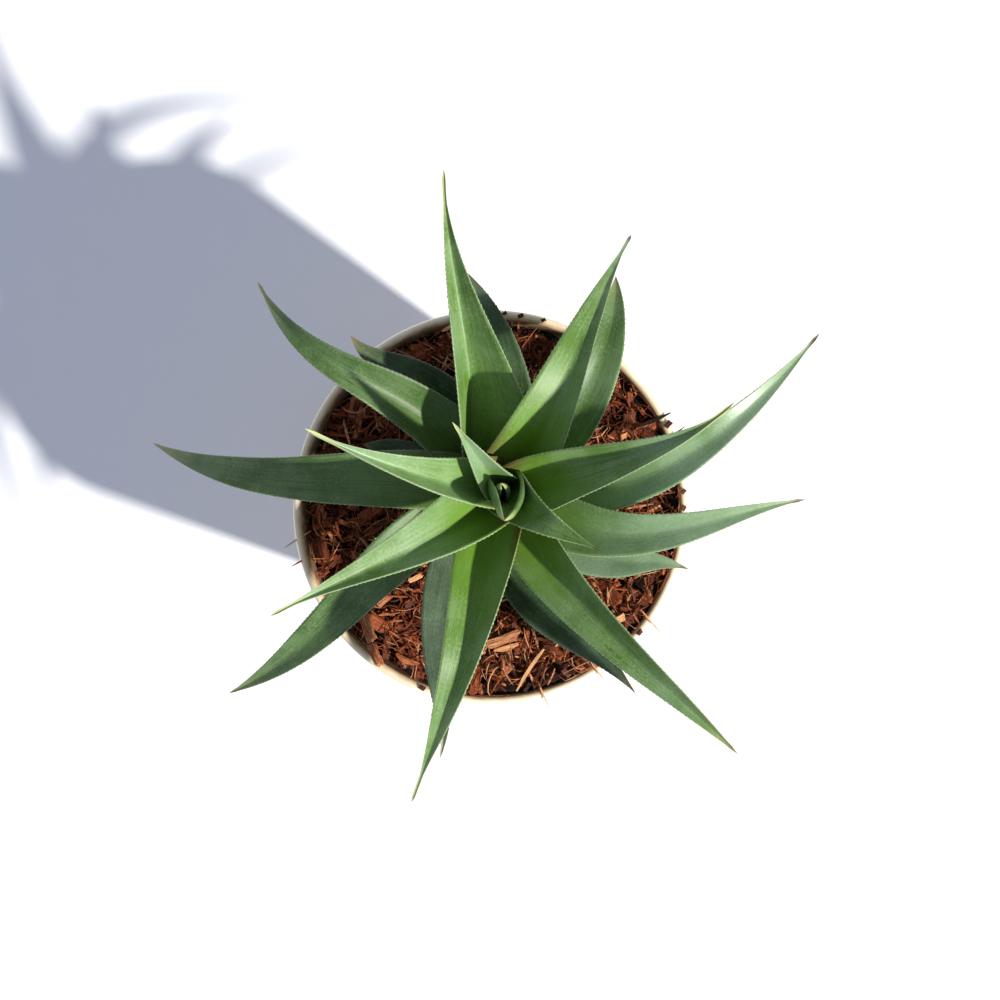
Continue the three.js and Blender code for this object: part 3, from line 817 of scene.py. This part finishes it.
def growLeaf(name, leaf, finish):
    rng = random.Random(name)
    path, reach = leafSpine(leaf)
    rows = toothRows(rng, reach[-1])
    seed = Vector((rng.uniform(0, 90), rng.uniform(0, 90), 0))
    stations = [leafStation(leaf, path, reach, seed, distance, tooth) for distance, tooth in rows]
    section = leafSection()

    bm = bmesh.new()
    columns, lines = len(section) - 1, len(rows) - 1
    bmesh.ops.create_grid(bm, x_segments=columns, y_segments=lines, size=1)
    plan = bm.verts.layers.float_vector.new("plan")
    mood = bm.verts.layers.float_vector.new("mood")
    rim = bm.verts.layers.float_vector.new("rim")
    for v in bm.verts:
        u, top = section[round((v.co.x + 1) / 2 * columns)]
        at = stations[round((v.co.y + 1) / 2 * lines)]
        if "curl" in leaf:
            sideways, lift, tooth, inside = curledAcross(at, u, top, math.radians(leaf["curl"]))
        else:
            sideways, lift, tooth, inside = openAcross(at, u, top, seed)
        lean = at.along * (abs(tooth) * leafShape["toothLean"])
        v.co = at.place + at.side * (sideways + tooth) + at.up * lift + lean
        v[plan] = (u, at.t, top)
        v[mood] = (leaf["age"], leaf["bloom"], leaf["tip"])
        v[rim] = (inside, at.distance, at.half)
    bmesh.ops.remove_doubles(bm, verts=bm.verts, dist=1e-5)
    openEnd = [e for e in bm.edges if len(e.link_faces) == 1]
    bmesh.ops.holes_fill(bm, edges=openEnd, sides=0)
    bmesh.ops.recalc_face_normals(bm, faces=bm.faces)
    addPiece(name + "_blade", toMesh(bm, name), finish, [name])


def leafFinish(name):
    r = Recipe(name)
    place = r.place()
    across, along, top = r.parts(r.attribute("plan"))
    age, bloom, tip = r.parts(r.attribute("mood"))
    inside, distance, half = r.parts(r.attribute("rim"))
    look = leafLook

    # lengthwise lines, finer veins, large blotches and pores
    lines = r.cloud(r.joined(across * 13, distance * 0.04, age * 40), 1.0, 3.0, 0.6)
    veins = r.cloud(r.joined(across * half * 5.5, distance * 0.2, age * 70), 1.0, 1.0)
    blotch = r.cloud(place, 0.09, 4.0, 0.55)
    pores = r.cloud(r.joined(across * half * 1.9, distance * 1.1, age * 50), 1.0, 2.0, 0.6)

    # body colour, with a yellower base that is partly the leaf's own and partly painted light shining through
    # the leaf, strongest in the channel, and a paler bloom that is partly painted sheen
    depth = r.ease((lines - 0.5) * 0.9 + blotch + (pores - 0.5) * 0.5, 0.3, 0.7)
    freshColour = r.mixed(depth, look["fresh2"], look["fresh"])
    colour = r.mixed(age, freshColour, r.mixed(depth, look["old2"], look["old"]))
    foot = 1 - r.ease(along + (lines - 0.5) * 0.25, 0.1, 0.58)
    # outer: paler bloom and dots away from the base; this is painted shade at the base and painted sheen
    # further out
    outer = 0.35 + 0.65 * r.ease(along, 0.15, 0.55)
    channelled = 1 - r.ease(abs(across), 0.35, 1.0) * 0.5
    # painted light: the bright yellow-green base stands partly for light shining through the leaf
    baseGlowColour = r.mixed(age, look["base"], look["oldBase"])
    colour = r.mixed(foot * channelled * (1 - age * 0.75), colour, baseGlowColour)
    speckled = r.ease(r.cloud(place, 0.2, 3.0), 0.4, 0.62) * outer * 0.45 * (1 - age * 0.7)
    colour = r.mixed(r.ease(pores, 0.52, 0.7) * speckled, colour, look["dot"])
    colour = r.mixed(r.ease(veins, 0.56, 0.74) * 0.14, colour, look["dot"])
    # the pale bloom is partly real and partly painted sheen of the sun on the lit outer parts
    waxAndSheen = r.ease(r.cloud(place, 0.05, 2.0, 0.5) + bloom * 0.4, 0.5, 0.95) * (0.2 + bloom * 0.6) * top * outer
    colour = r.mixed(waxAndSheen * (0.5 + 0.3 * pores), colour, look["waxSheen"])
    colour = r.mixed((1 - top) * 0.35, colour, r.mixed(age, look["under"], look["oldUnder"]))

    # pale margins, reddish near the base, and a dark red-brown at the base that is partly real colour and
    # partly painted shade between the leaf bases
    rimLine = 1 - r.ease(inside + (pores - 0.5) * 0.3, 0.05, 0.34)
    pinkish = (1 - r.ease(along, 0.05, 0.24)) * (1 - age * 0.5)
    marginColour = r.mixed(pinkish * 0.85, r.mixed(age, look["margin"], look["oldMargin"]), look["pink"])
    colour = r.mixed(rimLine * 0.65, colour, marginColour)
    # painted shade: the dark red-brown near the base stands partly for shade between the leaf bases
    blushAndShade = (1 - r.ease(along + (lines - 0.5) * 0.1, 0.1, 0.27)) * (1 - r.ease(inside, 0.4, 4.8)) * (1 - age)
    colour = r.mixed(blushAndShade * 0.8, colour, look["blushAndShade"])

    # cream or brown tips
    toTip = r.ease(along, 0.8, 0.985)
    colour = r.mixed(toTip * (1 - tip) * 0.75, colour, look["cream"])
    tipColour = r.mixed(tip, look["cream"], look["brown"])
    colour = r.mixed(r.ease(along + tip * 0.02, 0.955, 0.99), colour, tipColour)

    height = lines * 0.3 + veins * 0.25 + pores * 0.5 + blotch * 0.8
    rough = 0.5 - waxAndSheen * 0.16 + (pores - 0.5) * 0.16
    return r.wear(Base_Color=colour, Roughness=rough, Normal=r.bump(height, 0.16 * mm, 0.7),
                  Coat_Weight=waxAndSheen * 0.4, Coat_Roughness=0.36, IOR=1.5)


def buildLeaves():
    finishes = {slot: leafFinish(slot) for slot in slotRanks}
    for rank, (name, leaf) in enumerate(leafTable.items()):
        slot = next(slot for slot, last in slotRanks.items() if rank < last)
        growLeaf(name, leaf, finishes[slot])
    print("leaves grown", len(leafTable))


buildLeaves()
